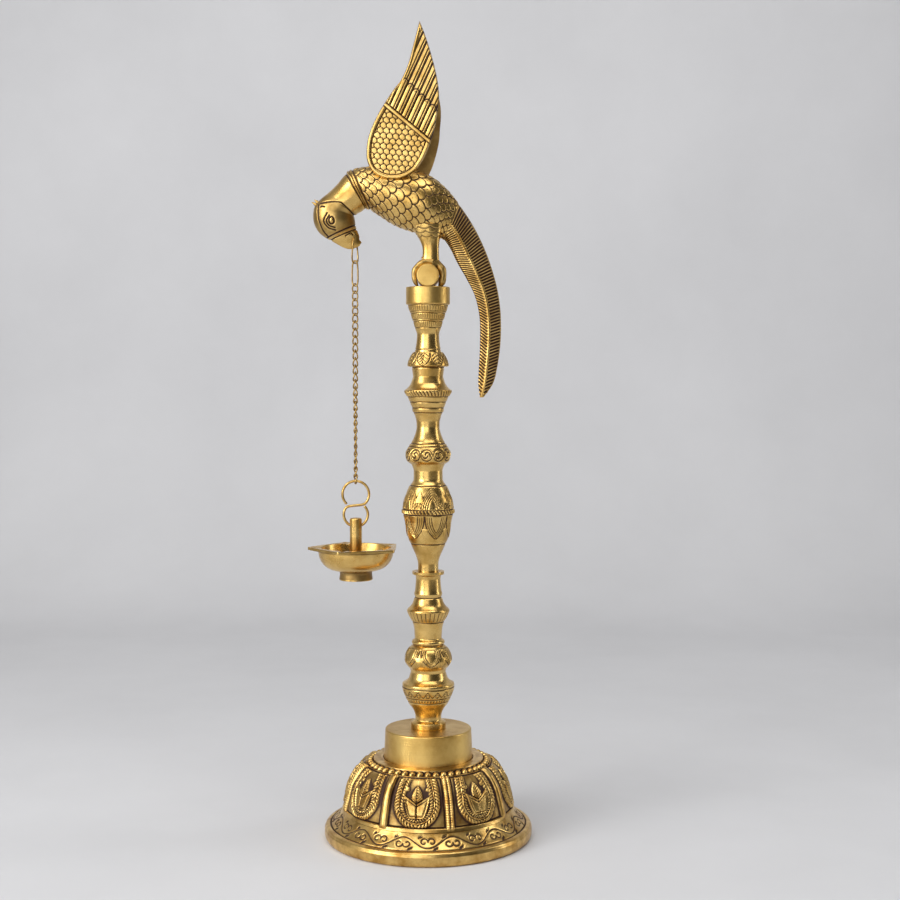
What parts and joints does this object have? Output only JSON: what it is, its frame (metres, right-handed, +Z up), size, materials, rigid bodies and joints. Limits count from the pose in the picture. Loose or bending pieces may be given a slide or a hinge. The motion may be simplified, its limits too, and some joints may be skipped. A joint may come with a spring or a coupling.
{
  "type": "hanging parrot oil lamp",
  "caption": "Tall turned brass stand on a ribbed bell base; a perched parrot with raised wings holds a chain in its beak, with an S hook and a star-lipped oil bowl.",
  "frame": {"origin": "on the surface the lamp stands on, at the centre of the footprint of base and bowl together", "axes": "+Z up along the stem, -X towards the hanging bowl, -Y towards the viewer"},
  "size_m": [0.1694, 0.1574, 0.6088],
  "materials": {
    "antique_brass": "cast, darkened in the recesses and rubbed bright on the high points",
    "polished_brass": "cast or turned, chased and polished, with dark lacquer left in the cut lines",
    "satin_brass": "turned, with fine lathe lines",
    "wire_brass": "drawn wire, bent cold",
    "zinc_steel": "zinc plated, dull"
  },
  "bodies": {
    "stand": {"base_bell": "antique_brass", "base_drum": "satin_brass", "stem_foot": "polished_brass", "stem_lower": "polished_brass", "stem_barrel": "polished_brass", "stem_upper": "polished_brass", "stem_neck": "polished_brass", "perch_cap": "satin_brass", "perch_bar": "polished_brass", "tie_rod": "zinc_steel", "tie_washer": "zinc_steel", "tie_nut": "zinc_steel", "parrot_body": "polished_brass", "wing_near": "polished_brass", "wing_far": "polished_brass"},
    "beak_link": {"beak_link": "wire_brass"},
    "long_link": {"long_link": "wire_brass"},
    "chain_upper": {"chain_link_01": "wire_brass", "chain_link_02": "wire_brass", "chain_link_03": "wire_brass", "chain_link_04": "wire_brass", "chain_link_05": "wire_brass", "chain_link_06": "wire_brass", "chain_link_07": "wire_brass", "chain_link_08": "wire_brass", "chain_link_09": "wire_brass"},
    "chain_middle": {"chain_link_10": "wire_brass", "chain_link_11": "wire_brass", "chain_link_12": "wire_brass", "chain_link_13": "wire_brass", "chain_link_14": "wire_brass", "chain_link_15": "wire_brass", "chain_link_16": "wire_brass", "chain_link_17": "wire_brass", "chain_link_18": "wire_brass"},
    "chain_lower": {"chain_link_19": "wire_brass", "chain_link_20": "wire_brass", "chain_link_21": "wire_brass", "chain_link_22": "wire_brass", "chain_link_23": "wire_brass", "chain_link_24": "wire_brass", "chain_link_25": "wire_brass", "chain_link_26": "wire_brass", "chain_link_27": "wire_brass"},
    "s_hook": {"s_hook": "wire_brass"},
    "bowl": {"oil_bowl": "polished_brass", "bowl_post": "polished_brass", "post_nut": "polished_brass"}
  },
  "joints": [
    {"name": "beak_link_swing", "type": "hinge", "parent": "stand", "child": "beak_link", "pos_m": [-0.04865, 0, 0.4525], "axis": [0, 1, 0], "range_deg": [-1.5, 25]},
    {"name": "long_link_swing", "type": "hinge", "parent": "beak_link", "child": "long_link", "pos_m": [-0.04865, 0, 0.4353], "axis": [1, 0, 0], "range_deg": [-20, 20]},
    {"name": "chain_upper_swing", "type": "hinge", "parent": "long_link", "child": "chain_upper", "pos_m": [-0.04865, 0, 0.41825], "axis": [0, 1, 0], "range_deg": [-0.5, 20]},
    {"name": "chain_middle_swing", "type": "hinge", "parent": "chain_upper", "child": "chain_middle", "pos_m": [-0.04865, 0, 0.36875], "axis": [1, 0, 0], "range_deg": [-20, 20]},
    {"name": "chain_lower_swing", "type": "hinge", "parent": "chain_middle", "child": "chain_lower", "pos_m": [-0.04865, 0, 0.31925], "axis": [0, 1, 0], "range_deg": [-0.5, 20]},
    {"name": "hook_swing", "type": "hinge", "parent": "chain_lower", "child": "s_hook", "pos_m": [-0.04865, 0, 0.2602], "axis": [0, 1, 0], "range_deg": [-2, 25]},
    {"name": "bowl_swing", "type": "hinge", "parent": "s_hook", "child": "bowl", "pos_m": [-0.04865, 0, 0.23655], "axis": [1, 0, 0], "range_deg": [-20, 20]}
  ]
}
